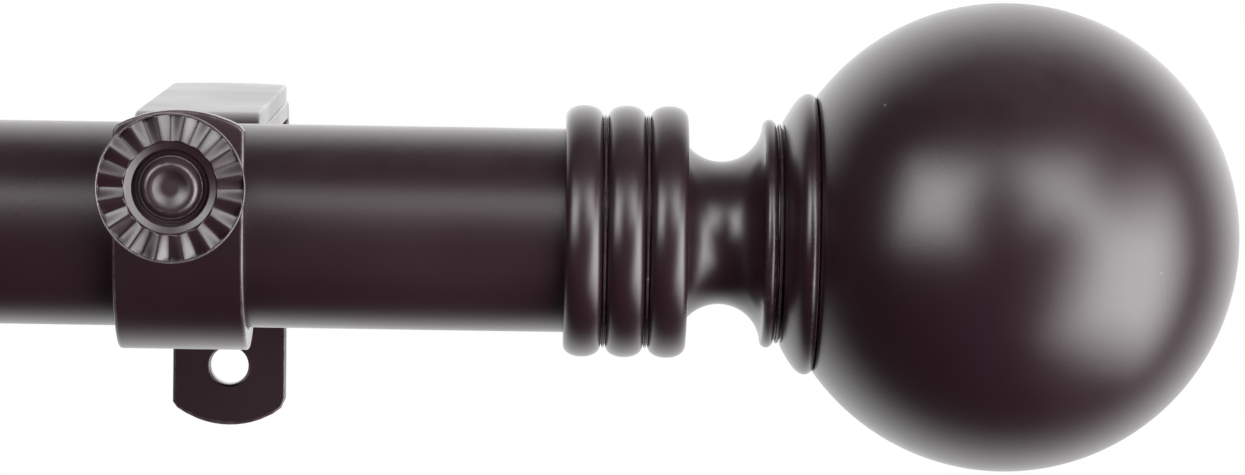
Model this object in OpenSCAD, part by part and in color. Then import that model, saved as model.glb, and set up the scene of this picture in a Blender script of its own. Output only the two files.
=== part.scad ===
// Telescoping curtain rod with ball finials and two adjustable strap brackets.
// Millimetres. X runs along the rod, +Z is up, the wall is the plane Y = 0 and the rod hangs
// on its -Y side. The origin is the centre of the four wall screw holes.

/* [Rod] */
// Outside diameter of the outer tube
rod_d = 25.4; // [25.2:0.1:25.6]
// Wall thickness of both tubes
tube_wall = 0.8; // [0.6:0.1:0.8]
// Outside diameter of the inner, telescoping tube
inner_d = 23.2; // [22.8:0.1:23.4]
// Length of the outer tube
outer_len = 305; // [290:5:320]
// Length of the inner tube
inner_len = 280; // [240:5:290]
// Length of inner tube that shows between the outer tube and the left finial
inner_shown = 45; // [10:5:150]

/* [Brackets] */
// Distance between the two brackets' centres
bracket_span = 228; // [200:1:230]
// Distance from the wall to the rod's axis
projection = 89; // [88:1:101]
// Width of the strap steel
strap_w = 16; // [14:0.1:18]
// Thickness of the strap steel
strap_t = 2.5; // [2:0.1:2.6]
// Height of the rod's axis above the centre of the wall screw holes
rod_z = 14.4; // [12:0.1:16]
// Vertical distance between a bracket's two screw holes
hole_spacing = 26; // [24:0.5:27]
// Diameter of the wall screw holes
hole_d = 5.4; // [4.5:0.1:5.5]
// Radius of the arcs that end the plate and the arms
end_r = 12.6; // [10:0.1:20]

/* [Clamp] */
// Height of the clamp screw above the rod's axis
clamp_z = 6.7; // [5.5:0.1:7]
// Diameter of the fluted knob
knob_d = 18; // [16:0.5:18]
// Distance from the rod's axis to the knob's front rim
knob_reach = 28.5; // [26:0.5:30]
// Number of flutes round the knob's face
flutes = 16; // [12:1:18]

/* [Finials] */
// Diameter of the ball
ball_d = 58.5; // [54:0.5:60]
// Outside diameter of the collar's beads
collar_d = 31.4; // [31:0.1:33]
// Width of one bead of the collar
bead_w = 4.65; // [4.2:0.05:4.9]
// Diameter of the neck at its narrowest
neck_d = 17.8; // [14:0.1:20]
// Diameter of the bell-shaped base under the ball
base_d = 34.9; // [34:0.1:35.5]

/* [Hidden] */
$fn = 96;
right = 1;
left = -1;

bronze = [0.20, 0.14, 0.16];
zinc = [0.72, 0.73, 0.74];
nylon = [0.90, 0.89, 0.85];
black_plastic = [0.12, 0.12, 0.13];
yellow_brass = [0.78, 0.62, 0.30];

rod_r = rod_d / 2;
inner_r = inner_d / 2;
bore_r = rod_r - tube_wall;
inner_bore_r = inner_r - tube_wall;
rod_y = -projection;
eps = 0.5;

// Cradle, measured from the rod's axis.
cup_r = rod_r + 0.4;
cup_z = 0.05;
cup_outer_r = cup_r + strap_t;
bend_r = 1;
cradle_bend_r = 3.5;
arm_joint_z = 10.45;
slide_gap = 0.05;
cradle_arm_z = arm_joint_z + slide_gap;
cradle_arm_end = 84;
tab_top_z = 15.25;
tab_end_r = 16;
tapped_r = 2.55;

// Wall leg.
hole_mid_z = -rod_z;
plate_drop = 21.5;
leg_arm_end = 63;
slot_near = 24;
slot_far = 59;
slot_r = 2.7;

// Projection lock: stud, washer and wing nut.
m5_r = 2.5;
stud_back = 45;
stud_len = 16;
washer_r = 5;
washer_t = 1;
nut_hub_r = 4.8;
nut_hub_h = 4.5;
wing_t = 1.8;
nut_seat_z = arm_joint_z - strap_t - slide_gap - washer_t - slide_gap;

// Clamp screw, measured forwards from the rod's axis.
pad_face = rod_r + 0.3;
pad_t = 0.8;
pad_r = 1.9;
pin_r = 1;
pin_len = 2.2;
head_seat = knob_reach - 1.8;
head_r = 4.2;
head_h = 2.1;
hub_face = knob_reach - 7;
hub_r = 4.6;
recess_r = 5.7;
flute_depth = 1.15;

// Finials, measured along the rod from the collar's tube-side face.
collar_overhang = 47.1;
tube_depth = 5;
socket_depth = 5.3;
socket_r = rod_r + 0.25;
collar_len = 15.2;
m8_r = 4;
m8_clear_r = 4.15;
neck_flange_s = 24.6;
base_s = 27.1;
mouth_s = 31.3;
base_end_s = 31.1;
ball_centre_s = 54.9;
ball_wall = 0.8;
ball_r = ball_d / 2;
boss_end_s = 46;
stud_start_s = -7;
stud_end_s = 44;
insert_len = 14;
insert_r = 6;
plug_len = 18;
left_tube_end_s = 4;
sleeve_start_s = -1.2;

// Places along X.
right_face = bracket_span / 2 + collar_overhang;
outer_right_x = right_face + tube_depth;
outer_left_x = outer_right_x - outer_len;
left_face = -(outer_left_x - inner_shown);
inner_left_x = -left_face - left_tube_end_s;

function face_at(side) = side > 0 ? right_face : left_face;

// Points [radius, height] along an arc about a centre, from one angle to another.
function arc(centre, r, from, to, steps) =
    [for (i = [0:steps]) centre + r * [cos(from + (to - from) * i / steps), sin(from + (to - from) * i / steps)]];

// Points of one bead: a flattened half round that stands on foot_r.
function bead(foot_r, top_r, start, width, steps) =
    [for (i = [0:steps])
        let (a = 180 * i / steps, side = cos(a) < 0 ? 1 : -1)
        [foot_r + (top_r - foot_r) * sin(a), start + width / 2 * (1 + side * abs(cos(a)))]];

// A ring or disc about the local Z axis.
module ring(outer, hole, from, to) {
    translate([0, 0, from])
        difference() {
            cylinder(r = outer, h = to - from);
            translate([0, 0, -eps]) cylinder(r = hole, h = to - from + 2 * eps);
        }
}

// Stands a piece on a bracket: local origin on the rod's axis over that bracket.
module at_bracket(side) {
    translate([side * bracket_span / 2, rod_y, rod_z]) children();
}

// Turns a piece drawn along Z to run outwards along the rod, from the collar's inner face.
module at_finial(side) {
    translate([side * face_at(side), rod_y, rod_z]) rotate([0, side * 90, 0]) children();
}

// Turns a piece drawn along Z to run forwards along the clamp screw.
module at_clamp(side) {
    at_bracket(side) translate([0, 0, clamp_z]) rotate([90, 0, 0]) children();
}

// Carries a side outline [y, z] across the strap's width.
module across_strap() {
    rotate([90, 0, 90]) linear_extrude(strap_w, center = true) children();
}

// Strap outline with one arc end: from start to a tip, centred on x = 0.
module strap_outline(start, tip) {
    centre = tip - end_r;
    intersection() {
        translate([-strap_w / 2, start]) square([strap_w, tip - start]);
        union() {
            translate([-strap_w / 2, start]) square([strap_w, centre - start]);
            translate([0, centre]) circle(end_r);
        }
    }
}

// Quarter of a bend, from the first angle counter-clockwise.
module bend(inner, from) {
    intersection() {
        difference() {
            circle(inner + strap_t);
            circle(inner);
        }
        rotate(from) square(inner + strap_t + eps);
    }
}

// Upright plate on the wall, bent at its top into a forward arm.
module wall_leg(side) {
    plate_top = arm_joint_z - strap_t - bend_r;
    plate_bottom = -rod_z - plate_drop;
    color(bronze)
        translate([side * bracket_span / 2, 0, rod_z])
            difference() {
                union() {
                    rotate([90, 0, 0]) linear_extrude(strap_t)
                        mirror([0, 1, 0]) strap_outline(-plate_top, -plate_bottom);
                    across_strap() translate([-strap_t - bend_r, plate_top]) bend(bend_r, 0);
                    translate([0, 0, arm_joint_z - strap_t]) linear_extrude(strap_t)
                        mirror([0, 1, 0]) strap_outline(strap_t + bend_r, leg_arm_end);
                }
                for (end = [-1, 1])
                    translate([0, eps, hole_mid_z + end * hole_spacing / 2]) rotate([90, 0, 0])
                        cylinder(d = hole_d, h = strap_t + 2 * eps);
                translate([0, 0, arm_joint_z - strap_t - eps]) {
                    for (y = [slot_near + slot_r, slot_far - slot_r])
                        translate([0, -y, 0]) cylinder(r = slot_r, h = strap_t + 2 * eps);
                    translate([-slot_r, -slot_far + slot_r, 0])
                        cube([2 * slot_r, slot_far - slot_near - 2 * slot_r, strap_t + 2 * eps]);
                }
            }
}

// Strap bent into an open cup under the rod, with an arm back along the leg's arm.
module cradle(side) {
    rear_y = cup_outer_r + cradle_bend_r;
    bend_z = cradle_arm_z - cradle_bend_r;
    color(bronze)
        at_bracket(side)
            difference() {
                union() {
                    across_strap() {
                        translate([0, cup_z]) intersection() {
                            difference() {
                                circle(cup_outer_r);
                                circle(cup_r);
                            }
                            translate([-cup_outer_r, -cup_outer_r]) square([2 * cup_outer_r, cup_outer_r]);
                        }
                        translate([cup_r, cup_z]) square([strap_t, bend_z - cup_z]);
                        translate([rear_y, bend_z]) bend(cradle_bend_r, 90);
                    }
                    translate([0, -cup_r, 0]) rotate([90, 0, 0]) linear_extrude(strap_t)
                        intersection() {
                            translate([-strap_w / 2, cup_z]) square([strap_w, tab_top_z - cup_z]);
                            translate([0, tab_top_z - tab_end_r]) circle(tab_end_r);
                        }
                    translate([0, 0, cradle_arm_z]) linear_extrude(strap_t)
                        strap_outline(rear_y, cradle_arm_end);
                }
                translate([0, -cup_r + eps, clamp_z]) rotate([90, 0, 0])
                    cylinder(r = tapped_r, h = strap_t + 2 * eps);
            }
}

// Stud welded under the cradle's arm.
module lock_stud(side) {
    color(zinc)
        at_bracket(side) translate([0, stud_back, cradle_arm_z - stud_len])
            cylinder(r = m5_r, h = stud_len);
}

// Washer under the leg's arm.
module lock_washer(side) {
    color(zinc)
        at_bracket(side) translate([0, stud_back, 0])
            ring(washer_r, tapped_r, nut_seat_z + slide_gap, nut_seat_z + slide_gap + washer_t);
}

// One wing of the nut, drawn in [radius, height below the seat].
module wing() {
    translate([8.4, -6.4]) circle(3.2);
    polygon([[3, -0.8], [8.2, -3.2], [10, -9], [6.6, -8.8], [3, -4.5]]);
}

// Wing nut that locks the projection.
module wing_nut(side) {
    color(zinc)
        at_bracket(side) translate([0, stud_back, nut_seat_z])
            difference() {
                union() {
                    translate([0, 0, -nut_hub_h]) cylinder(r1 = nut_hub_r - 0.8, r2 = nut_hub_r, h = nut_hub_h);
                    for (turn = [0, 180])
                        rotate([90, 0, turn]) linear_extrude(wing_t, center = true) wing();
                }
                translate([0, 0, -nut_hub_h - eps]) cylinder(r = tapped_r, h = nut_hub_h + 2 * eps);
            }
}

// Nylon tip of the clamp screw.
module clamp_pad(side) {
    color(nylon)
        at_clamp(side) {
            translate([0, 0, pad_face]) cylinder(r = pad_r, h = pad_t);
            translate([0, 0, pad_face + pad_t]) cylinder(r = pin_r, h = pin_len);
        }
}

// Clamp screw with a domed head that is dished in its middle.
module clamp_screw(side) {
    crown = 1.3;
    color(bronze)
        at_clamp(side)
            difference() {
                union() {
                    translate([0, 0, pad_face + pad_t])
                        cylinder(r = m5_r, h = head_seat - pad_face - pad_t);
                    rotate_extrude()
                        polygon(concat([[0, head_seat], [head_r, head_seat]],
                            arc([head_r - crown, head_seat + head_h - crown], crown, 0, 90, 8),
                            [[0, head_seat + head_h]]));
                }
                translate([0, 0, head_seat + head_h + 3.6]) sphere(r = 4.3);
                translate([0, 0, pad_face + pad_t - eps])
                    cylinder(r = pin_r + 0.05, h = pin_len + eps + 0.2);
            }
}

// Fluted knob pressed on the screw, under its head.
module knob(side) {
    rim_t = 0.8;
    knob_r = knob_d / 2;
    color(bronze)
        at_clamp(side)
            difference() {
                rotate_extrude()
                    polygon([[m5_r, hub_face], [hub_r, hub_face], [hub_r, knob_reach - 3.2],
                        [knob_r, knob_reach - rim_t], [knob_r, knob_reach],
                        [recess_r, knob_reach], [head_r + 0.2, head_seat], [m5_r, head_seat]]);
                for (i = [0:flutes - 1])
                    rotate(i * 360 / flutes) translate([recess_r - 0.7, 0, knob_reach])
                        rotate([45, 0, 0]) translate([0, -flute_depth / 2, -flute_depth / 2])
                            cube([knob_r, flute_depth, flute_depth]);
            }
}

// Outer tube of the rod.
module outer_tube() {
    color(bronze)
        translate([outer_left_x, rod_y, rod_z]) rotate([0, 90, 0]) ring(rod_r, bore_r, 0, outer_len);
}

// Inner tube, which slides in the outer one.
module inner_tube() {
    color(bronze)
        translate([inner_left_x, rod_y, rod_z]) rotate([0, 90, 0])
            ring(inner_r, inner_bore_r, 0, inner_len);
}

// Bush on the inner tube's hidden end, which glides in the outer tube.
module glide_bush() {
    bush_bore_r = inner_bore_r - 1.6;
    color(nylon)
        translate([inner_left_x + inner_len, rod_y, rod_z]) rotate([0, 90, 0]) {
            ring(inner_bore_r, bush_bore_r, -12, 0);
            ring(bore_r - 0.05, bush_bore_r, 0, 2);
        }
}

// Plug in the outer tube's end, which holds the right insert.
module end_plug_right() {
    color(black_plastic)
        at_finial(right) ring(bore_r, insert_r, tube_depth - plug_len, tube_depth);
}

// Plug in the inner tube's end, with a sleeve that makes it up to the outer tube's diameter.
module end_plug_left() {
    color(black_plastic)
        at_finial(left) {
            ring(rod_r, inner_r, sleeve_start_s, left_tube_end_s);
            ring(rod_r, insert_r, left_tube_end_s, tube_depth);
            ring(inner_bore_r, insert_r, tube_depth - plug_len, left_tube_end_s);
        }
}

// Brass threaded insert moulded in a plug.
module insert(side) {
    color(yellow_brass)
        at_finial(side) ring(insert_r, m8_r + 0.05, tube_depth - insert_len, tube_depth);
}

// Collar with three beads, sleeved over the tube's end.
module collar(side) {
    foot_r = collar_d / 2 - 1.5;
    pitch = (collar_len - bead_w) / 2;
    color(bronze)
        at_finial(side)
            difference() {
                rotate_extrude()
                    polygon(concat([[m8_clear_r, 0]],
                        [for (i = [0:2]) each bead(foot_r, collar_d / 2, i * pitch, bead_w, 14)],
                        [[m8_clear_r, collar_len]]));
                translate([0, 0, -eps]) cylinder(r = socket_r, h = socket_depth + eps);
            }
}

// Spool neck: a cove that flares to a thin flange.
module neck(side) {
    neck_r = neck_d / 2;
    waist_s = 19.4;
    shoulder_r = 5.4;
    flare_r = neck_flange_s - waist_s;
    flange_r = neck_r + flare_r + 0.1;
    color(bronze)
        at_finial(side)
            rotate_extrude()
                polygon(concat([[m8_r, collar_len]],
                    arc([neck_r + shoulder_r, waist_s], shoulder_r, 231, 180, 8),
                    arc([neck_r + flare_r, waist_s], flare_r, 175, 95, 14),
                    arc([flange_r - 0.7, neck_flange_s + 0.75], 0.75, -60, 60, 6),
                    [[flange_r - 0.8, base_s], [m8_r, base_s]]));
}

// Bell-shaped base: a cone that rolls over a rounded rim.
module base(side) {
    rim_r = 1.6;
    rim_s = 30;
    color(bronze)
        at_finial(side)
            rotate_extrude()
                polygon(concat([[m8_r, base_s], [base_d / 2 - 2.9, base_s]],
                    arc([base_d / 2 - rim_r, rim_s], rim_r, -54, 43.4, 12),
                    [[m8_r, base_end_s]]));
}

// Hollow ball with a flanged mouth.
module ball(side) {
    mouth_r = 16.3;
    boss_r = 8;
    color(bronze)
        at_finial(side) {
            difference() {
                translate([0, 0, ball_centre_s]) sphere(r = ball_r);
                translate([0, 0, ball_centre_s]) sphere(r = ball_r - ball_wall);
                translate([0, 0, ball_centre_s - ball_r - eps])
                    cylinder(r = ball_r, h = mouth_s - ball_centre_s + ball_r + eps);
            }
            ring(mouth_r, boss_r, base_end_s, mouth_s + ball_wall);
        }
}

// Threaded boss brazed in the ball's mouth.
module ball_boss(side) {
    boss_r = 8;
    color(zinc)
        at_finial(side) ring(boss_r, m8_r, base_end_s, boss_end_s);
}

// Stud that screws the finial into the insert.
module finial_stud(side) {
    color(zinc)
        at_finial(side) translate([0, 0, stud_start_s]) cylinder(r = m8_r, h = stud_end_s - stud_start_s);
}

wall_leg(right);  // wall_leg_right
wall_leg(left);  // wall_leg_left
cradle(right);  // cradle_right
cradle(left);  // cradle_left
lock_stud(right);  // lock_stud_right
lock_stud(left);  // lock_stud_left
lock_washer(right);  // lock_washer_right
lock_washer(left);  // lock_washer_left
wing_nut(right);  // wing_nut_right
wing_nut(left);  // wing_nut_left
clamp_pad(right);  // clamp_pad_right
clamp_pad(left);  // clamp_pad_left
clamp_screw(right);  // clamp_screw_right
clamp_screw(left);  // clamp_screw_left
knob(right);  // knob_right
knob(left);  // knob_left
outer_tube();
inner_tube();
glide_bush();
end_plug_right();
end_plug_left();
insert(right);  // insert_right
insert(left);  // insert_left
collar(right);  // collar_right
collar(left);  // collar_left
neck(right);  // neck_right
neck(left);  // neck_left
base(right);  // base_right
base(left);  // base_left
ball(right);  // ball_right
ball(left);  // ball_left
ball_boss(right);  // ball_boss_right
ball_boss(left);  // ball_boss_left
finial_stud(right);  // finial_stud_right
finial_stud(left);  // finial_stud_left
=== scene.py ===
import bmesh
import bpy
import numpy as np
from mathutils import Matrix, Vector


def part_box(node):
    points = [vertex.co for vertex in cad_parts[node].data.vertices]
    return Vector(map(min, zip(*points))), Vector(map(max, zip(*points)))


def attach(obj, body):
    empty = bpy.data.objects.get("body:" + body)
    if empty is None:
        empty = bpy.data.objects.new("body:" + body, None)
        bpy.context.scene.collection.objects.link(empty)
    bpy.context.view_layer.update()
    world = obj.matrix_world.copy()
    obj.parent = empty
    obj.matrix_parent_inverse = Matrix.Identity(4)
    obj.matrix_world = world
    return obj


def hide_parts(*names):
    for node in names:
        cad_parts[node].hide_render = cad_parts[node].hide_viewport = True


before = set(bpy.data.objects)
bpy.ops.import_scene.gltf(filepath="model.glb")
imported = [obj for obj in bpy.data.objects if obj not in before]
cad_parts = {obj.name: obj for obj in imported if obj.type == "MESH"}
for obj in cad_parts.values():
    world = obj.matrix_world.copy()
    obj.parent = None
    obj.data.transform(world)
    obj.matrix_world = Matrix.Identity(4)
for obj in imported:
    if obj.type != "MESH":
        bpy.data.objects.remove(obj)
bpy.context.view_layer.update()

# ---------------------------------------------------------------------------------------------
# Wall legs. Two strips of 16 x 2.5 mm strap steel, sheared to an arc at each end, pierced for two
# wall screws and slotted for the lock stud, then bent once into a forward arm. Powder coated
# after bending, so the coat rounds every edge and wears first along it.

mm = 0.001
strap_width = 16 * mm
strap_thickness = 2.5 * mm
bend_radius = 1 * mm + strap_thickness / 2

tube_low, tube_high = (np.array(corner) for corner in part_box("outer_tube"))
rod_y, rod_z = (tube_low[1:] + tube_high[1:]) / 2
rod_radius = (tube_high[1] - tube_low[1]) / 2
bracket_x = {side: float(np.mean([corner[0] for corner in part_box("wall_leg_" + side)]))
             for side in ("right", "left")}


def bent_line(start, heading, pieces):
    """Centre line of a bent strap in its side plane (y, z). Pieces are (length, curvature), run
    one after another; curvature 0 is straight, 1 / radius an arc to the left. Returns a function
    of (distance along, height to the left): the piece's own line or arc formula at that distance,
    plus the height along the left normal."""
    lengths, curves = np.array(pieces, float).T
    ends = np.cumsum(lengths)
    turns = heading + np.concatenate([[0], np.cumsum(lengths * curves)])[:-1]
    starts = [np.array(start, float)]
    for length, curve, turn in zip(lengths, curves, turns):
        if curve:
            step = [np.sin(turn + curve * length) - np.sin(turn),
                    np.cos(turn) - np.cos(turn + curve * length)]
            starts.append(starts[-1] + np.array(step) / curve)
        else:
            starts.append(starts[-1] + length * np.array([np.cos(turn), np.sin(turn)]))
    starts = np.array(starts)

    def carry(along, height):
        piece = np.minimum(np.searchsorted(ends, along, side="right"), len(pieces) - 1)
        gone = along - (ends - lengths)[piece]
        curve, turn = curves[piece], turns[piece]
        now = turn + curve * gone
        divisor = np.where(curve == 0, 1, curve)
        y = np.where(curve == 0, gone * np.cos(turn), (np.sin(now) - np.sin(turn)) / divisor)
        z = np.where(curve == 0, gone * np.sin(turn), (np.cos(turn) - np.cos(now)) / divisor)
        return (starts[piece, 0] + y - height * np.sin(now),
                starts[piece, 1] + z + height * np.cos(now))

    return carry


across = np.array([-8, -7.4, -6.2, -4.4, -3.2, -2.1, -1, 0, 1, 2.1, 3.2, 4.4, 6.2, 7.4, 8]) * mm


def cut_line(along):
    """Points (distance along, distance across) of a straight line across the strap."""
    return np.stack([np.full(len(across), float(along)), across], axis=1)


def sheared_end(tip, arc_radius, corner_left, corner_right, way=1):
    """Points across the strap's end: the tip less an arc's sagitta, r - sqrt(r2 - across2), and
    less each corner's own rounding, c - sqrt(c2 - overrun2), where a point overruns its start."""
    back = arc_radius - np.sqrt(arc_radius ** 2 - across ** 2)
    for corner, reach in ((corner_left, -across), (corner_right, across)):
        over = np.clip(reach - (strap_width / 2 - corner), 0, corner * 0.995)
        back = back + corner - np.sqrt(corner ** 2 - over ** 2)
    return np.stack([tip - way * back, across], axis=1)


def plain_stretch(first, last, rows):
    """Grid of points from one line across the strap to the next, in equal steps."""
    share = np.linspace(0, 1, rows + 1)[:, None, None]
    return first * (1 - share) + last * share


def pierced_stretch(first, last, core, radius, sides):
    """Grid of rings from a hole's edge out to the stretch's border. The hole is every point at
    the radius from the line between the two ends of its core, so a longer core makes a slot."""
    share = np.linspace(0, 1, sides + 1)[:, None]
    near, far = (first[i] * (1 - share) + last[i] * share for i in (0, -1))
    border = np.concatenate([first[:-1], far[:-1], last[:0:-1], near[::-1]])
    nearest = np.stack([np.clip(border[:, 0], *core), np.zeros(len(border))], axis=1)
    out = border - nearest
    edge = nearest + radius * out / np.linalg.norm(out, axis=1, keepdims=True)
    share = np.array([0, 0.1, 0.25, 0.5, 0.75, 0.9, 1])[:, None, None]
    return edge * (1 - share) + border * share


def grid_quads(rows, columns, first=0):
    """Corner numbers of the quads between neighbouring points of a grid."""
    index = first + np.arange(rows * columns).reshape(rows, columns)
    corners = index[:-1, :-1], index[1:, :-1], index[1:, 1:], index[:-1, 1:]
    return np.stack(corners, axis=-1).reshape(-1, 4)


def skin(name, points, quads, rub, crease=38):
    """Object from whole arrays of points, quads and rub. Points that coincide are joined, which
    closes seams and poles, and every face is turned outwards."""
    mesh = bpy.data.meshes.new(name)
    mesh.vertices.add(len(points))
    mesh.vertices.foreach_set("co", np.ascontiguousarray(points, np.float32).ravel())
    mesh.loops.add(quads.size)
    mesh.loops.foreach_set("vertex_index", np.ascontiguousarray(quads, np.int32).ravel())
    mesh.polygons.add(len(quads))
    mesh.polygons.foreach_set("loop_start", np.arange(0, quads.size, 4, dtype=np.int32))
    mesh.update(calc_edges=True)
    mesh.attributes.new("rub", "FLOAT", "POINT").data.foreach_set(
        "value", np.ascontiguousarray(rub, np.float32))
    shell = bmesh.new()
    shell.from_mesh(mesh)
    bmesh.ops.remove_doubles(shell, verts=shell.verts, dist=1e-6)
    bmesh.ops.recalc_face_normals(shell, faces=shell.faces)
    shell.to_mesh(mesh)
    shell.free()
    mesh.polygons.foreach_set("use_smooth", np.ones(len(mesh.polygons), bool))
    mesh.set_sharp_from_angle(angle=np.radians(crease))
    piece = bpy.data.objects.new(name, mesh)
    bpy.context.collection.objects.link(piece)
    return piece


def strap_piece(name, centre_x, stretches, carry):
    """Flat blank of joined grids, given its thickness and rounded edges and carried along a bent
    line. Edges that belong to one quad only are the blank's outline; each is followed by rows
    that step round a quarter circle, down the wall and round another quarter circle."""
    flat = np.concatenate([grid.reshape(-1, 2) for grid in stretches])
    counts = np.cumsum([0] + [grid.shape[0] * grid.shape[1] for grid in stretches])
    quads = np.concatenate([grid_quads(*grid.shape[:2], first)
                            for grid, first in zip(stretches, counts)])
    _, lowest, same = np.unique(np.round(flat / 1e-7), axis=0, return_index=True,
                                return_inverse=True)
    flat, quads = flat[lowest], same.ravel()[quads]
    corner = flat[quads]
    ahead = np.roll(corner, -1, axis=1)
    area = (corner[..., 0] * ahead[..., 1] - ahead[..., 0] * corner[..., 1]).sum(axis=1)
    quads = np.where(area[:, None] < 0, quads[:, ::-1], quads)

    count = len(flat)
    edges = np.concatenate([quads[:, [i, (i + 1) % 4]] for i in range(4)])
    outline = edges[~np.isin(edges[:, 0] * count + edges[:, 1], edges[:, 1] * count + edges[:, 0])]
    step = flat[outline[:, 1]] - flat[outline[:, 0]]
    facing = np.stack([step[:, 1], -step[:, 0]], axis=1) / np.linalg.norm(step, axis=1)[:, None]
    summed = np.zeros_like(flat)
    for end in (0, 1):
        np.add.at(summed, outline[:, end], facing)
    on_edge = np.unique(outline)
    outwards = 2 * summed[on_edge] / (summed[on_edge] ** 2).sum(axis=1)[:, None]

    half, easing, wall_step = strap_thickness / 2, 0.32 * mm, 0.35 * mm
    turn = np.radians([0, 22.5, 45, 67.5, 90])
    inset = np.concatenate([easing * (1 - np.sin(turn)), [0, 0], easing * (1 - np.sin(turn[::-1]))])
    height = half - easing * (1 - np.cos(turn))
    height = np.concatenate([height, [height[-1] - wall_step, wall_step - height[-1]],
                             -height[::-1]])
    worn = np.array([0.9, 1, 1, 0.8, 0.5, 0, 0, 0.5, 0.8, 1, 1, 0.9])

    faces = flat.copy()
    faces[on_edge] -= easing * outwards
    face_rub = np.zeros(count)
    face_rub[on_edge] = worn[0]
    place = np.full(count, -1)
    place[on_edge] = np.arange(len(on_edge))
    wall = flat[on_edge][None] - inset[:, None, None] * outwards[None]
    first = 2 * count + np.arange(len(inset) - 1)[:, None] * len(on_edge)
    a, b = place[outline[:, 0]], place[outline[:, 1]]
    wall_quads = np.stack([first + b, first + a, first + len(on_edge) + a,
                           first + len(on_edge) + b], axis=-1).reshape(-1, 4)

    blank = np.concatenate([faces, faces, wall.reshape(-1, 2)])
    level = np.concatenate([np.full(count, half), np.full(count, -half),
                            np.repeat(height, len(on_edge))])
    y, z = carry(blank[:, 0], level)
    points = np.stack([centre_x + blank[:, 1], y, z], axis=1)
    every = np.concatenate([quads, quads[:, ::-1] + count, wall_quads])
    rub = np.concatenate([face_rub, face_rub, np.repeat(worn, len(on_edge))])
    return skin(name, points, every, rub)


def node_group(name, inputs, outputs):
    """Empty shader group with float inputs {name: value} and float outputs, a list of names."""
    tree = bpy.data.node_groups.new(name, "ShaderNodeTree")
    for label, value in inputs.items():
        socket = tree.interface.new_socket(name=label, in_out="INPUT",
                                           socket_type="NodeSocketFloat")
        socket.default_value = value
    for label in outputs:
        tree.interface.new_socket(name=label, in_out="OUTPUT", socket_type="NodeSocketFloat")
    return tree, tree.nodes.new("NodeGroupInput").outputs, tree.nodes.new("NodeGroupOutput").inputs


def added(tree, kind, settings=None, **links):
    """Adds a node. Settings are its own properties; links are values or sockets for its inputs,
    named, or numbered as i0, i1."""
    node = tree.nodes.new(kind)
    for key, value in (settings or {}).items():
        setattr(node, key, value)
    for key, value in links.items():
        number = key[1:]
        socket = node.inputs[int(number) if key[0] == "i" and number.isdigit()
                             else key.replace("_", " ")]
        if isinstance(value, bpy.types.NodeSocket):
            tree.links.new(value, socket)
        else:
            socket.default_value = value
    return node


def maths(tree, operation, *values, clamp=False):
    """Output of a Math node."""
    links = {"i%d" % i: value for i, value in enumerate(values)}
    return added(tree, "ShaderNodeMath", {"operation": operation, "use_clamp": clamp},
                 **links).outputs[0]


def grain_group():
    """Coat grain: fine cells of the given size and a broad drift of tone, both 0 to 1."""
    tree, given, out = node_group("coat_grain", {"Cell size": 0.6 * mm}, ["Height", "Tone"])
    place = added(tree, "ShaderNodeTexCoord").outputs["Object"]
    fine = added(tree, "ShaderNodeTexNoise", Vector=place, Detail=2.5, Roughness=0.55,
                 Scale=maths(tree, "DIVIDE", 1.0, given["Cell size"]))
    broad = added(tree, "ShaderNodeTexNoise", Vector=place, Detail=3, Roughness=0.5, Scale=38)
    tree.links.new(fine.outputs["Fac"], out["Height"])
    tree.links.new(broad.outputs["Fac"], out["Tone"])
    return tree


def edge_rub_group():
    """Edge wear: the rub attribute, broken up by noise and faded in from a threshold."""
    tree, given, out = node_group("edge_rub", {"Amount": 0.4}, ["Mask"])
    place = added(tree, "ShaderNodeTexCoord").outputs["Object"]
    patchy = added(tree, "ShaderNodeTexNoise", Vector=place, Scale=900, Detail=4, Roughness=0.7)
    broad = added(tree, "ShaderNodeTexNoise", Vector=place, Scale=70, Detail=2)
    rub = added(tree, "ShaderNodeAttribute", {"attribute_name": "rub"}).outputs["Fac"]
    broken = maths(tree, "MULTIPLY", patchy.outputs["Fac"], broad.outputs["Fac"])
    level = maths(tree, "MULTIPLY", rub, maths(tree, "MULTIPLY", broken, 4.0))
    worn = added(tree, "ShaderNodeMapRange", {"interpolation_type": "SMOOTHSTEP"},
                 Value=level, From_Min=0.45, From_Max=1.3).outputs[0]
    tree.links.new(maths(tree, "MULTIPLY", worn, given["Amount"], clamp=True), out["Mask"])
    return tree


def dust_group():
    """Dust: sparse specks everywhere and a thin film on what faces up."""
    tree, given, out = node_group("settled_dust", {"Film": 0.3, "Specks": 0.5}, ["Mask"])
    place = added(tree, "ShaderNodeTexCoord").outputs["Object"]
    up = added(tree, "ShaderNodeSeparateXYZ",
               Vector=added(tree, "ShaderNodeNewGeometry").outputs["Normal"]).outputs["Z"]
    cloud = added(tree, "ShaderNodeTexNoise", Vector=place, Scale=260, Detail=5, Roughness=0.65)
    film = maths(tree, "MULTIPLY", maths(tree, "POWER", maths(tree, "MAXIMUM", up, 0.0), 3.0),
                 cloud.outputs["Fac"])
    cells = added(tree, "ShaderNodeTexVoronoi", Vector=place, Scale=210)
    chosen = maths(tree, "GREATER_THAN", added(
        tree, "ShaderNodeSeparateXYZ", Vector=cells.outputs["Color"]).outputs["X"], 0.93)
    speck = maths(tree, "MULTIPLY", chosen,
                  maths(tree, "LESS_THAN", cells.outputs["Distance"], 0.035))
    total = maths(tree, "ADD", maths(tree, "MULTIPLY", film, given["Film"]),
                  maths(tree, "MULTIPLY", speck, given["Specks"]))
    tree.links.new(maths(tree, "MINIMUM", total, 1.0), out["Mask"])
    return tree


coat_grain, edge_rub, settled_dust = grain_group(), edge_rub_group(), dust_group()


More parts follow.
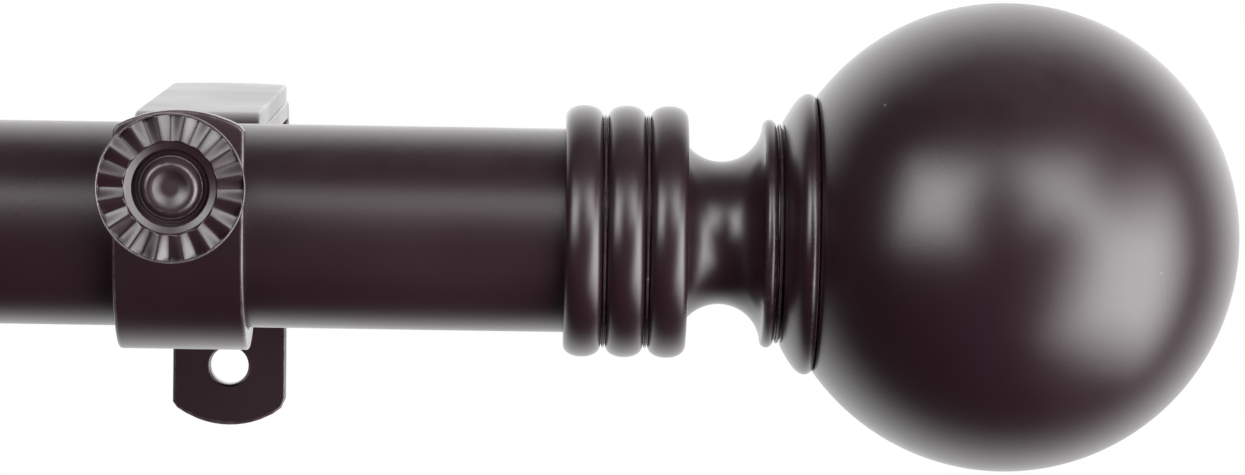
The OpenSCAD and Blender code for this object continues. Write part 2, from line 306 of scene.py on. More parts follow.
def mixed(tree, share, first, second):
    """Colour mixed from first to second; each is a socket or (r, g, b)."""
    node = added(tree, "ShaderNodeMix", {"data_type": "RGBA"}, i0=share)
    for socket, value in ((node.inputs[6], first), (node.inputs[7], second)):
        if isinstance(value, bpy.types.NodeSocket):
            tree.links.new(value, socket)
        else:
            socket.default_value = (*value, 1)
    return node.outputs[2]


dust_colour = (0.42, 0.39, 0.37)


def finish_material(name, dark, light, roughness, metallic=0.0, spread=0.08, cell=0.6, bump=0.015,
                    worn=(0.2, 0.15, 0.15), wear=0.4, film=0.25, specks=0.6, level=0.5):
    """Coated, plated or moulded finish: two tones drift across it, the grain lifts it by bump
    millimetres, the edges rub through to the worn colour and dust lies on top."""
    material = bpy.data.materials.new(name)
    material.use_nodes = True
    tree = material.node_tree
    shader = tree.nodes["Principled BSDF"]
    grain = added(tree, "ShaderNodeGroup", {"node_tree": coat_grain})
    grain.inputs["Cell size"].default_value = cell * mm
    rub = added(tree, "ShaderNodeGroup", {"node_tree": edge_rub})
    rub.inputs["Amount"].default_value = wear
    dust = added(tree, "ShaderNodeGroup", {"node_tree": settled_dust})
    dust.inputs["Film"].default_value = film
    dust.inputs["Specks"].default_value = specks
    tone = added(tree, "ShaderNodeMapRange", Value=grain.outputs["Tone"],
                 From_Min=0.3, From_Max=0.7).outputs[0]
    colour = mixed(tree, tone, dark, light)
    colour = mixed(tree, rub.outputs["Mask"], colour, worn)
    colour = mixed(tree, maths(tree, "MULTIPLY", dust.outputs["Mask"], 0.5), colour, dust_colour)
    tree.links.new(colour, shader.inputs["Base Color"])
    rough = maths(tree, "MULTIPLY_ADD", tone, spread, roughness - spread / 2)
    rough = maths(tree, "MULTIPLY_ADD", rub.outputs["Mask"], -0.08, rough)
    rough = maths(tree, "MULTIPLY_ADD", dust.outputs["Mask"], 0.3, rough, clamp=True)
    tree.links.new(rough, shader.inputs["Roughness"])
    raised = added(tree, "ShaderNodeBump", Height=grain.outputs["Height"], Distance=bump * mm)
    raised.inputs["Strength"].default_value = 1.0
    tree.links.new(raised.outputs["Normal"], shader.inputs["Normal"])
    shader.inputs["Metallic"].default_value = metallic
    shader.inputs["Specular IOR Level"].default_value = level
    return material


bronze_dark, bronze_light = (0.0128, 0.0042, 0.0072), (0.0160, 0.0056, 0.0094)
strap_coat = finish_material("strap_bronze_coat", bronze_dark, bronze_light, 0.31,
                             cell=0.55, bump=0.012, worn=(0.13, 0.10, 0.10), wear=0.5, level=0.6)


def coated(piece, body, slot, material, *nodes):
    """Gives a piece its material, rides it on a body, and lets it stand for CAD nodes. The slot is
    not used."""
    piece.data.materials.clear()
    piece.data.materials.append(material)
    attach(piece, body)
    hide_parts(*nodes)


plate_tip_to_hole = 8.5 * mm
screw_hole_spacing = 26 * mm
screw_hole_radius = 2.7 * mm
slot_half_width = 2.7 * mm
slot_core_length, slot_tip_gap = 29.6 * mm, 4 * mm
hole_margin, lowest_margin = 5 * mm, 3.9 * mm
arc_radius = 12.6 * mm
plate_corners, arm_corners = (0.4 * mm, 1.1 * mm), (0.8 * mm, 0.8 * mm)

for side in ("right", "left"):
    low, high = (np.array(corner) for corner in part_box("wall_leg_" + side))
    upright = high[2] - low[2] - strap_thickness / 2 - bend_radius
    arm = high[1] - low[1] - strap_thickness / 2 - bend_radius
    bend = bend_radius * np.pi / 2
    leg_line = bent_line((high[1] - strap_thickness / 2, low[2]), np.pi / 2,
                         [(upright, 0), (bend, 1 / bend_radius), (arm, 0)])
    lower, upper = plate_tip_to_hole, plate_tip_to_hole + screw_hole_spacing
    arm_start, tip = upright + bend, upright + bend + arm
    slot_end = tip - slot_tip_gap - slot_half_width
    slot_start = slot_end - slot_core_length
    lines = [sheared_end(0, arc_radius, *plate_corners, way=-1), cut_line(lower - lowest_margin),
             cut_line(lower + hole_margin), cut_line(upper - hole_margin),
             cut_line(upper + hole_margin), cut_line(upright), cut_line(arm_start),
             cut_line(slot_start - hole_margin), sheared_end(tip, arc_radius, *arm_corners)]
    blank = [plain_stretch(lines[0], lines[1], 4),
             pierced_stretch(lines[1], lines[2], (lower, lower), screw_hole_radius, 14),
             plain_stretch(lines[2], lines[3], 6),
             pierced_stretch(lines[3], lines[4], (upper, upper), screw_hole_radius, 14),
             plain_stretch(lines[4], lines[5], 3), plain_stretch(lines[5], lines[6], 16),
             plain_stretch(lines[6], lines[7], 6),
             pierced_stretch(lines[7], lines[8], (slot_start, slot_end), slot_half_width, 40)]
    leg = strap_piece("strap_leg_" + side, bracket_x[side], blank, leg_line)
    coated(leg, "wall_legs", "strap_bronze", strap_coat, "wall_leg_" + side)

# ---------------------------------------------------------------------------------------------
# Cradles. A second length of the same strap, bent to an open half cup that the rod lies in, with
# its front tip standing up as the tab that the clamp screw threads through, and its rear running
# back along the leg's arm. Same coat as the legs.

cup_clearance = 0.4 * mm
cup_line_radius = rod_radius + cup_clearance + strap_thickness / 2
cup_centre_lift = 0.05 * mm
arm_bend_radius = 3.5 * mm + strap_thickness / 2
slide_gap = 0.05 * mm
tab_arc_radius, tab_corners = 16 * mm, (0.4 * mm, 0.4 * mm)
tab_hole_radius, tab_hole_margin = 2.55 * mm, 4 * mm
clamp_lift = 6.7 * mm

for side in ("right", "left"):
    low, high = (np.array(corner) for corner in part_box("cradle_" + side))
    tab = high[2] - rod_z - cup_centre_lift
    arm_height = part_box("wall_leg_" + side)[1][2] + slide_gap + strap_thickness / 2
    rise = arm_height - arm_bend_radius - rod_z - cup_centre_lift
    arm = high[1] - (rod_y + cup_line_radius + arm_bend_radius)
    bend, half_turn = arm_bend_radius * np.pi / 2, cup_line_radius * np.pi
    cradle_line = bent_line((rod_y - cup_line_radius, high[2]), -np.pi / 2,
                            [(tab, 0), (half_turn, 1 / cup_line_radius), (rise, 0),
                             (bend, -1 / arm_bend_radius), (arm, 0)])
    screw = high[2] - rod_z - clamp_lift
    stops = np.cumsum([tab, half_turn, rise, bend, arm])
    lines = [sheared_end(0, tab_arc_radius, *tab_corners, way=-1),
             cut_line(screw - tab_hole_margin), cut_line(screw + tab_hole_margin)]
    lines += [cut_line(stop) for stop in stops[:-1]]
    lines.append(sheared_end(stops[-1], arc_radius, *arm_corners))
    blank = [plain_stretch(lines[0], lines[1], 3),
             pierced_stretch(lines[1], lines[2], (screw, screw), tab_hole_radius, 12),
             plain_stretch(lines[2], lines[3], 2), plain_stretch(lines[3], lines[4], 64),
             plain_stretch(lines[4], lines[5], 6), plain_stretch(lines[5], lines[6], 16),
             plain_stretch(lines[6], lines[7], 10)]
    cradle = strap_piece("strap_cradle_" + side, bracket_x[side], blank, cradle_line)
    coated(cradle, "cradle_" + side, "strap_bronze", strap_coat, "cradle_" + side)

# ---------------------------------------------------------------------------------------------
# Lock studs. M5 studs welded under the cradles' arms, rolled thread, bright zinc plate. Each
# passes down through the slot in a leg's arm.

AXES = {"down": ((0, 1, 0), (1, 0, 0), (0, 0, -1)), "forward": ((1, 0, 0), (0, 0, 1), (0, -1, 0)),
        "right": ((0, 1, 0), (0, 0, 1), (1, 0, 0)), "left": ((0, 0, 1), (0, 1, 0), (-1, 0, 0))}


def softened(corners, closed=True):
    """Outline through corners (radius, distance, rounding), in millimetres. Each corner becomes
    an arc that touches both its sides, with one more point a guard's length along each side."""
    steps, guard, straight, longest_cut = 5, 0.45 * mm, 3.1, 0.45
    corners = np.array(corners, float) * mm
    spots, rounding = corners[:, :2], corners[:, 2]
    out = []
    for i, spot in enumerate(spots):
        if not closed and i in (0, len(spots) - 1):
            out.append(spot)
            continue
        before, after = spots[i - 1] - spot, spots[(i + 1) % len(spots)] - spot
        sides = np.linalg.norm(before), np.linalg.norm(after)
        before, after = before / sides[0], after / sides[1]
        opening = np.arccos(np.clip(before @ after, -1, 1))
        if rounding[i] <= 0 or opening > straight:
            out.append(spot)
            continue
        cut = min(rounding[i] / np.tan(opening / 2), longest_cut * min(sides))
        share = np.linspace(0, 1, steps + 1)[:, None]
        bisector = (before + after) / np.linalg.norm(before + after)
        centre = spot + bisector * cut / np.cos(opening / 2)
        radius = cut * np.tan(opening / 2)
        first, last = spot + before * cut - centre, spot + after * cut - centre
        spokes = first * (1 - share) + last * share
        arc = centre + radius * spokes / np.linalg.norm(spokes, axis=1, keepdims=True)
        if sides[0] > 2 * (cut + guard):
            out.append(spot + before * (cut + guard))
        out.extend(arc)
        if sides[1] > 2 * (cut + guard):
            out.append(spot + after * (cut + guard))
    if closed:
        out.append(out[0])
    return np.array(out)


def outline_rub(outline):
    """How far each outline point stands proud: the turn between its two sides over their mean
    length, times half a millimetre, counted only where the outline turns round the metal."""
    closed = np.allclose(outline[0], outline[-1])
    loop = outline[:-1] if closed else outline
    following = np.roll(loop, -1, axis=0)
    ahead = following - loop
    behind = np.roll(ahead, 1, axis=0)
    lengths = np.linalg.norm(ahead, axis=1), np.linalg.norm(behind, axis=1)
    cross = behind[:, 0] * ahead[:, 1] - behind[:, 1] * ahead[:, 0]
    turn = np.arctan2(cross, (ahead * behind).sum(axis=1))
    way = np.sign((loop[:, 0] * following[:, 1] - following[:, 0] * loop[:, 1]).sum())
    rub = np.clip(way * turn / np.maximum(sum(lengths) / 2, 1e-6) * 0.5 * mm, 0, 1)
    if not closed:
        rub[[0, -1]] = 0
    return np.concatenate([rub, rub[:1]]) if closed else rub


def stood(points, origin, axis):
    """Local points (first, second, along) set out from an origin on three world directions."""
    return np.array(origin) + points @ np.array(AXES[axis], float)


def spun(outline, angles, shape=None):
    """Points of a surface of revolution. An outline point (radius, distance along) goes once
    round the axis: radius times (cosine, sine) of the angle, at its distance. Shape may change
    the two arrays radius and distance as a function of the angle."""
    radius, along = (np.repeat(outline[:, i, None], len(angles), axis=1) for i in (0, 1))
    if shape:
        radius, along = shape(radius, along, angles[None, :])
    points = np.stack([radius * np.cos(angles), radius * np.sin(angles), along], axis=-1)
    return points.reshape(-1, 3)


def turned(name, outline, origin, axis, angles=None, steps=96, shape=None, crease=38):
    """Object that is one surface of revolution, set out from an origin along an axis."""
    angles = np.linspace(0, 2 * np.pi, steps + 1) if angles is None else angles
    rub = np.repeat(outline_rub(outline), len(angles))
    return skin(name, stood(spun(outline, angles, shape), origin, axis),
                grid_quads(len(outline), len(angles)), rub, crease)


def threaded(radius, pitch, start, end):
    """Outline and shape of a right-handed screw. The radius is the crest less 0.61 pitch times a
    flattened triangle wave of (distance / pitch - angle / full turn), and it falls to the root
    over the first and last turns."""
    depth = 0.61 * pitch
    along = np.arange(start, end, pitch / 10)
    along = np.concatenate([[start, start], along + (end - along[-1]) / 2, [end, end]])
    base = np.full(len(along), radius)
    base[[0, -1]] = 0
    base[[1, -2]] = radius - depth - 0.25 * mm

    def shape(rad, dist, angle):
        wave = np.abs((dist / pitch - angle / (2 * np.pi)) % 1 - 0.5) * 2
        wave = np.clip(wave * 1.35 - 0.12, 0, 1)
        fade = np.clip(np.minimum(dist - start, end - dist) / pitch, 0, 1)
        cut = np.where(rad > radius - 0.01 * mm, depth * (1 - wave * fade), 0)
        return rad - cut, dist

    return np.stack([base, along], axis=1), shape


zinc_plate = finish_material("bright_zinc_plate", (0.50, 0.51, 0.53), (0.62, 0.63, 0.63), 0.30,
                             metallic=1.0, spread=0.12, cell=0.25, bump=0.004,
                             worn=(0.42, 0.42, 0.43), wear=0.5, film=0.3, specks=0.2)
m5_radius, m5_pitch = 2.5 * mm, 0.8 * mm
m8_radius, m8_pitch = 4 * mm, 1.25 * mm
stud_back = 45 * mm

for side in ("right", "left"):
    low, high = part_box("lock_stud_" + side)
    outline, shape = threaded(m5_radius, m5_pitch, 0, high[2] - low[2])
    stud = turned("weld_stud_" + side, outline, (bracket_x[side], rod_y + stud_back, high[2]),
                  "down", steps=40, shape=shape)
    coated(stud, "cradle_" + side, "zinc_plate", zinc_plate, "lock_stud_" + side)

# ---------------------------------------------------------------------------------------------
# Lock washers. Stamped plain washers under the legs' arms, zinc plated, one edge left rounder
# than the other by the punch.

for side in ("right", "left"):
    low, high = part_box("lock_washer_" + side)
    outline = softened([(2.6, 0, 0.08), (5, 0, 0.35), (5, 1, 0.12), (2.6, 1, 0.15)])
    washer = turned("plain_washer_" + side, outline, (bracket_x[side], rod_y + stud_back, high[2]),
                    "down", steps=64)
    coated(washer, "washer_" + side, "zinc_plate", zinc_plate, "lock_washer_" + side)

# ---------------------------------------------------------------------------------------------
# Wing nuts. Pressed steel nuts, zinc plated: a tapered hub with two ears that stand out and down
# from it. Turned by hand, they lock how far the rod stands from the wall.


def ear_points(turn):
    """Closed ear: an outline swept towards its own middle, point = middle + (edge - middle) times
    cosine of the latitude, while the half thickness times the sine, both flattened by a power."""
    edge = np.array([(2.6, 0.5), (4.6, 1.5), (6.6, 2.6), (8.4, 3.1), (10.2, 3.9), (11.4, 5.3),
                     (11.6, 6.8), (11.0, 8.2), (9.8, 9.2), (8.2, 9.6), (6.6, 9.0), (5.4, 7.6),
                     (4.4, 6.0), (3.2, 4.6), (2.4, 3.4), (2.1, 1.8)]) * mm
    spread = np.linspace(0, len(edge), 97)
    whole = np.minimum(spread.astype(int), len(edge) - 1)
    part = (spread - whole)[:, None]
    p0, p1, p2, p3 = (edge[(whole + k) % len(edge)] for k in (-1, 0, 1, 2))
    curve = 0.5 * (2 * p1 + (p2 - p0) * part + (2 * p0 - 5 * p1 + 4 * p2 - p3) * part ** 2
                   + (3 * p1 - p0 - 3 * p2 + p3) * part ** 3)
    middle, half_thickness = edge.mean(axis=0), 0.9 * mm
    latitude = np.linspace(-np.pi / 2, np.pi / 2, 15)
    reach = np.abs(np.cos(latitude)) ** 0.45
    reach[[0, -1]] = 0
    height = half_thickness * np.sign(latitude) * np.abs(np.sin(latitude)) ** 0.55
    flat = middle + (curve - middle) * reach[:, None, None]
    c, s = np.cos(turn), np.sin(turn)
    lift = np.repeat(height[:, None], len(curve), axis=1)
    points = np.stack([flat[..., 0] * c - lift * s, flat[..., 0] * s + lift * c, flat[..., 1]], -1)
    rub = np.repeat(np.exp(-((np.abs(latitude) - 0.6) / 0.35) ** 2), len(curve))
    return points.reshape(-1, 3), rub, points.shape[:2]


for side in ("right", "left"):
    low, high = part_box("wing_nut_" + side)
    origin = (bracket_x[side], rod_y + stud_back, high[2])
    hub = softened([(2.6, 0, 0.25), (4.8, 0, 0.3), (4.0, 4.5, 0.4), (2.6, 4.5, 0.3)])
    angles = np.linspace(0, 2 * np.pi, 65)
    points, quads = [spun(hub, angles)], [grid_quads(len(hub), len(angles))]
    rub = [np.repeat(outline_rub(hub), len(angles))]
    for turn in (np.pi / 2, 3 * np.pi / 2):
        ear, ear_rub, size = ear_points(turn)
        quads.append(grid_quads(*size, sum(len(part) for part in points)))
        points.append(ear)
        rub.append(ear_rub)
    nut = skin("wing_nut_pressed_" + side, stood(np.concatenate(points), origin, "down"),
               np.concatenate(quads), np.concatenate(rub))
    coated(nut, "nut_" + side, "zinc_plate", zinc_plate, "wing_nut_" + side)

# ---------------------------------------------------------------------------------------------
# Outer and inner tubes. Rolled from 0.8 mm strip and seam welded, so a fine seam runs along the
# side towards the wall. The inner one slides in the outer one, and both are powder coated.

tube_coat = finish_material("tube_bronze_coat", bronze_dark, bronze_light, 0.30, cell=0.5,
                            bump=0.010, worn=(0.13, 0.10, 0.10), wear=0.45, level=0.6)


def seamed(angle_of_seam, surface):
    """Angles gathered about the seam, and a shape that sinks the outside there: the radius less
    the depth times exp(-(arc distance / width) squared)."""
    depth, width = 0.14 * mm, 0.30 * mm
    near = np.linspace(-3, 3, 25) * width / surface
    angles = np.unique(np.concatenate([np.linspace(0, 2 * np.pi, 145), angle_of_seam + near]))

    def shape(rad, dist, angle):
        away = (angle - angle_of_seam) * surface
        sunk = rad - depth * np.exp(-(away / width) ** 2)
        return np.where(rad > surface - 0.5 * mm, sunk, rad), dist

    return angles, shape


for node, body, outside, inside, seam in (("outer_tube", "rod", 12.7, 11.9, 325),
                                          ("inner_tube", "inner_rod", 11.6, 10.8, 330)):
    low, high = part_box(node)
    length = (high[0] - low[0]) / mm
    outline = softened([(inside, 0, 0.15), (outside, 0, 0.3), (outside, length, 0.3),
                        (inside, length, 0.15)])
    angles, shape = seamed(np.radians(seam), outside * mm)
    tube = turned("rolled_" + node, outline, (low[0], rod_y, rod_z), "right", angles, shape=shape)
    coated(tube, body, "tube_bronze", tube_coat, node)

# ---------------------------------------------------------------------------------------------
# Glide bush. Moulded nylon, pushed into the inner tube's hidden end so that it slides in the
# outer tube without scratching it. Three shallow ribs grip the tube.

nylon = finish_material("natural_nylon", (0.74, 0.72, 0.65), (0.80, 0.78, 0.71), 0.46, cell=0.4,
                        bump=0.006, worn=(0.66, 0.63, 0.56), wear=0.3, film=0.2, specks=0.2)
low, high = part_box("glide_bush")
outline = softened([(9.2, 0, 0.3), (10.8, 0, 0.5), (10.8, 3, 0), (10.6, 3.4, 0.1), (10.6, 5, 0.1),
                    (10.8, 5.4, 0), (10.8, 8, 0), (10.6, 8.4, 0.1), (10.6, 12, 0.1),
                    (11.85, 12, 0.2), (11.85, 14, 0.3), (9.2, 14, 0.3)])
bush = turned("moulded_glide_bush", outline, (low[0], rod_y, rod_z), "right", steps=96)
coated(bush, "inner_rod", "nylon", nylon, "glide_bush")

# ---------------------------------------------------------------------------------------------
# End plugs. Moulded black plastic plugs in the tubes' outer ends, with a recessed face round the
# threaded insert. The left one carries a sleeve that makes the inner tube up to full diameter.

black_plastic = finish_material("moulded_black_plastic", (0.016, 0.016, 0.018),
                                (0.022, 0.022, 0.024), 0.48, cell=0.35, bump=0.010,
                                worn=(0.07, 0.07, 0.075), wear=0.4, film=0.3, specks=0.3)
tube_end = {side: (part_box("collar_" + side)[0 if side == "right" else 1][0], rod_y, rod_z)
            for side in ("right", "left")}
tube_body = {"right": "rod", "left": "inner_rod"}
plugs = {"right": [(6, -13, 0.2), (11.1, -13, 0.8), (11.9, -11, 0.3), (11.9, 5, 0.25),
                   (11.3, 5, 0.2), (10.9, 4.1, 0.2), (7.3, 4.1, 0.2), (6.9, 5, 0.2), (6, 5, 0.1)],
         "left": [(6, -13, 0.2), (10.2, -13, 0.6), (10.8, -11, 0.3), (10.8, 4, 0.05),
                  (11.6, 4, 0.05), (11.6, -1.2, 0.1), (12.7, -1.2, 0.3), (12.7, 5, 0.3),
                  (11.6, 5, 0.2), (11.2, 4.4, 0.15), (7.3, 4.4, 0.2), (6.9, 5, 0.2), (6, 5, 0.1)]}
for side, body in tube_body.items():
    plug = turned("moulded_plug_" + side, softened(plugs[side]), tube_end[side], side)
    coated(plug, body, "black_plastic", black_plastic, "end_plug_" + side)

# ---------------------------------------------------------------------------------------------
# Threaded inserts. Turned brass, moulded into the plugs, with straight knurling that keys them
# and a countersunk mouth. The finials' studs screw into them.

brass = finish_material("turned_brass", (0.68, 0.46, 0.17), (0.76, 0.55, 0.24), 0.28, metallic=1.0,
                        spread=0.1, cell=0.2, bump=0.003, worn=(0.80, 0.62, 0.32), wear=0.4,
                        film=0.2, specks=0.2)


def knurled(rad, dist, angle):
    """The outside sinks by 0.03 mm times one plus the cosine of forty times the angle."""
    return np.where(rad > 5.9 * mm, rad - 0.03 * mm * (1 + np.cos(40 * angle)), rad), dist


stud_bore = 4.05
for side, body in tube_body.items():
    outline = softened([(stud_bore, -9, 0.1), (6, -9, 0.3), (6, 5.0, 0.2), (4.7, 5.0, 0.08),
                        (stud_bore, 4.4, 0.1)])
    insert = turned("knurled_insert_" + side, outline, tube_end[side], side,
                    steps=240, shape=knurled)
    coated(insert, body, "brass", brass, "insert_" + side)

# ---------------------------------------------------------------------------------------------
# Clamp pads. Small nylon tips pressed into the ends of the clamp screws, so that the screws
# don't mark the rod's coat.

clamp_origin = {side: (bracket_x[side], rod_y, rod_z + clamp_lift) for side in bracket_x}
pad_start, pad_flange = rod_radius / mm + 0.3, 0.8
for side in ("right", "left"):
    outline = softened([(0, pad_start, 0), (1.9, pad_start, 0.3),
                        (1.9, pad_start + pad_flange, 0.1), (1, pad_start + pad_flange, 0.05),
                        (1, pad_start + 3, 0.3), (0, pad_start + 3, 0)], closed=False)
    pad = turned("nylon_tip_" + side, outline, clamp_origin[side], "forward", steps=48)
    coated(pad, "pad_" + side, "nylon", nylon, "clamp_pad_" + side)

# ---------------------------------------------------------------------------------------------
# Knobs. Pressed steel discs on a short hub, coated like the bracket. The face is folded into
# sixteen radial pleats inside a thin rim, and round the screw's head it sinks to a shallow ring
# and then down to the seat that the head lies on.

knob_coat = finish_material("knob_bronze_coat", bronze_dark, bronze_light, 0.30, cell=0.45,
                            bump=0.010, worn=(0.15, 0.12, 0.12), wear=0.5, level=0.75)
knob_reach = 28.5
pleats, steps_per_pleat = 16, 18
face_inner, face_outer = 4.3, 8.72
recess_radii, recess_levels = (4.4, 4.65, 5.52, 5.75, 5.9), (26.75, 27.62, 28.0, 28.4, 28.5)


def pleated(rad, dist, angle):
    """The face lies at the lower of two surfaces. One is the crest level less the fold depth,
    which grows with the radius, times a wave of the angle that is half triangle, half cosine. The
    other is the recess: a short wall, then a shallow dished ring, then a wall down to the seat."""
    r = rad / mm
    share = angle * pleats / (2 * np.pi)
    wave = np.abs(share % 1 - 0.5) + 0.25 * (1 + np.cos(2 * np.pi * share))
    crest, depth = knob_reach - 0.12, np.clip(0.33 + 0.165 * (r - 5.75), 0.25, 0.80)
    recess = np.interp(r, recess_radii, recess_levels)
    face = np.minimum(crest - depth * wave, recess)
    on_face = (dist > (knob_reach - 0.005) * mm) & (r < face_outer) & (r > face_inner)
    return rad, np.where(on_face, face * mm, dist)


face_radii = np.concatenate([[8.70], np.linspace(8.62, 5.9, 20), np.linspace(5.85, 4.45, 24)])
back = softened([(2.55, 26.6, 0.05), (2.55, 21.5, 0.1), (4.6, 21.5, 0.4), (4.6, 25.2, 0.5),
                 (8.9, 27.75, 0.1), (9, 28.1, 0.15)], closed=False)
rim = np.array([(9, 28.25), (8.96, 28.36), (8.88, 28.42), (8.80, 28.40), (8.75, 28.30)]) * mm
face = np.stack([face_radii, np.full(len(face_radii), knob_reach)], axis=1) * mm
floor_edge = np.array([(4.4, 26.75), (4.3, 26.65), (2.55, 26.6)]) * mm
knob_outline = np.concatenate([back, rim, face, floor_edge])
for side in ("right", "left"):
    knob = turned("pleated_knob_" + side, knob_outline, clamp_origin[side], "forward",
                  steps=pleats * steps_per_pleat, shape=pleated, crease=50)
    coated(knob, "knob_" + side, "knob_bronze", knob_coat, "knob_" + side)

# ---------------------------------------------------------------------------------------------
# Clamp screws. M5 screws that run in the tabs' threads, with the knobs pressed on under the
# heads. A head is a low dome with a thin lip round it and a shallow dish in its middle.

screw_start = pad_start + pad_flange
for side in ("right", "left"):
    outline, shape = threaded(m5_radius, m5_pitch, screw_start * mm, 26.6 * mm)
    outline = outline[:-2]  # the head closes this end
    dome = np.radians(np.linspace(8, 90, 14))
    dish = np.linspace(3.05, 0, 20)
    hollow = 1 - np.clip((dish - 0.8) / 2.3, 0, 1)
    head = np.concatenate([
        [(2.4, 26.65), (4.0, 26.68), (4.28, 26.75), (4.34, 26.95), (4.32, 27.12), (4.22, 27.2),
         (4.08, 27.18), (4.0, 27.3)],
        np.stack([3.2 + 0.92 * np.cos(dome), 27.25 + 1.35 * np.sin(dome)], axis=1),
        np.stack([dish, 28.60 - 0.62 * hollow ** 2 * (3 - 2 * hollow)], axis=1)]) * mm
    screw = turned("domed_screw_" + side, np.concatenate([outline, head]), clamp_origin[side],
                   "forward", steps=72, shape=shape)
    coated(screw, "knob_" + side, "knob_bronze", knob_coat, "clamp_screw_" + side)

# ---------------------------------------------------------------------------------------------
# Collars. Turned metal sleeves over the tubes' ends, with three full beads and a fine ridge in
# each groove between them. The finials' studs pass through them.

finial_coat = finish_material("finial_bronze_coat", bronze_dark, bronze_light, 0.29, cell=0.5,
                              bump=0.008, worn=(0.12, 0.09, 0.09), wear=0.35, level=0.6)
bead_width, bead_pitch, bead_foot, bead_top = 4.65, 5.275, 14.2, 15.7


def bead_outline(start):
    """One bead: foot plus rise times sine to a power, along half the width times one plus or
    minus cosine to the same power, which squares a half round's shoulders."""
    angle = np.radians(np.linspace(0, 180, 31))
    radius = bead_foot + (bead_top - bead_foot) * np.abs(np.sin(angle)) ** 0.95
    away = np.sign(np.cos(angle)) * np.abs(np.cos(angle)) ** 0.95
    return np.stack([radius, start + bead_width / 2 * (1 - away)], axis=1)


groove = np.array([(14.1, 0.05), (14.1, 0.1), (14.48, 0.17), (14.58, 0.31), (14.48, 0.46),
                   (14.1, 0.53), (14.1, 0.58)])
outer_line = [bead_outline(0)]
for number in (1, 2):
    outer_line.append(groove + [0, (number - 1) * bead_pitch + bead_width])
    outer_line.append(bead_outline(number * bead_pitch))
sleeve = [[(12.95, 5.3), (12.95, 0.3), (13.1, 0.08), (13.3, 0)], [(14.1, 0)]]
collar_outline = np.concatenate(sleeve + outer_line
                                + [[(14.0, 15.2), (4.4, 15.2), (4.15, 15.0), (4.15, 5.3),
                                    (12.95, 5.3)]]) * mm
for side in ("right", "left"):
    collar = turned("beaded_collar_" + side, collar_outline, tube_end[side], side,
                    steps=160)
    coated(collar, "collar_" + side, "finial_bronze", finial_coat, "collar_" + side)

# ---------------------------------------------------------------------------------------------
# Necks. Turned spools that fit between collar and base: a cove that flares to a thin round
# flange, with one fine ridge behind it.


def arc_line(centre, radius, start, end, steps):
    """Arc of an outline: centre plus radius times (cosine, sine) of the angle in degrees."""
    angle = np.radians(np.linspace(start, end, steps + 1))
    return np.stack([centre[0] + radius * np.cos(angle),
                     centre[1] + radius * np.sin(angle)], axis=1)


neck_outline = np.concatenate([
    [(stud_bore, 15.2), (10.6, 15.2)], arc_line((14.3, 19.4), 5.4, 229, 184, 14),
    arc_line((14.1, 19.4), 5.2, 180, 98, 26), arc_line((13.45, 25.33), 0.78, -70, 78, 10),
    [(13.45, 26.12), (13.22, 26.2), (13.2, 26.34), (13.62, 26.42), (13.74, 26.58), (13.62, 26.74),
     (13.3, 26.8), (13.2, 26.95), (13.3, 27.1), (stud_bore, 27.1), (stud_bore, 15.2)]]) * mm
for side in ("right", "left"):
    neck = turned("spool_neck_" + side, neck_outline, tube_end[side], side, steps=144)
    coated(neck, "finial_" + side, "finial_bronze", finial_coat, "neck_" + side)

# ---------------------------------------------------------------------------------------------
# Bases. Spun bells that seat the balls: a quarter wave that swells to a rolled rim and turns
# over it to a crisp edge.

swell = np.linspace(0, 1, 22)
bell = np.stack([14.1 + 3.42 * np.sin(swell * np.pi / 2), 27.12 + 3.05 * swell], axis=1)
base_outline = np.concatenate([
    [(stud_bore, 27.1), (13.9, 27.1)], bell,
    [(17.5, 30.4), (17.42, 30.6), (17.3, 30.78), (17.2, 30.95), (17.05, 31.05), (16.9, 31.08),
     (stud_bore, 31.1), (stud_bore, 27.1)]]) * mm
for side in ("right", "left"):
    base = turned("bell_base_" + side, base_outline, tube_end[side], side, steps=160)
    coated(base, "finial_" + side, "finial_bronze", finial_coat, "base_" + side)

# ---------------------------------------------------------------------------------------------
# Balls. Hollow spun steel, 58.5 mm across, closed by a flange that the boss is brazed to. Ground
# smooth and coated, with no seam left.

ball_radius, ball_wall, ball_centre, mouth = 29.25, 0.8, 54.9, 31.3
flange_back = mouth + ball_wall
outside = np.degrees(np.arcsin((mouth - ball_centre) / ball_radius))
inside = np.degrees(np.arcsin((flange_back - ball_centre) / (ball_radius - ball_wall)))
ball_outline = np.concatenate([
    arc_line((0, ball_centre), ball_radius - ball_wall, 90, inside, 40), [(8, flange_back)],
    [(8, 31.12), (16.4, 31.12), (16.9, 31.18)],
    arc_line((0, ball_centre), ball_radius, outside, 90, 110)]) * mm
ball_outline[[0, -1], 0] = 0
for side in ("right", "left"):
    ball = turned("spun_ball_" + side, ball_outline, tube_end[side], side, steps=192)
    coated(ball, "finial_" + side, "finial_bronze", finial_coat, "ball_" + side)

# ---------------------------------------------------------------------------------------------
# Ball bosses. Zinc plated steel sleeves brazed into the balls' mouths, threaded for the studs.

for side in ("right", "left"):
    outline = softened([(stud_bore, 31.14, 0.1), (8, 31.14, 0.1), (8, 46, 0.5),
                        (stud_bore, 46, 0.3)])
    boss = turned("brazed_boss_" + side, outline, tube_end[side], side, steps=64)
    coated(boss, "finial_" + side, "zinc_plate", zinc_plate, "ball_boss_" + side)

# ---------------------------------------------------------------------------------------------
# Finial studs. M8 studs fixed in the bosses. They run through base, neck and collar into the
# inserts, and draw the whole finial up against the tube.

for side in ("right", "left"):
    outline, shape = threaded(m8_radius, m8_pitch, -7 * mm, 44 * mm)
    stud = turned("long_stud_" + side, outline, tube_end[side], side, steps=40,
                  shape=shape)
    coated(stud, "finial_" + side, "zinc_plate", zinc_plate, "finial_stud_" + side)

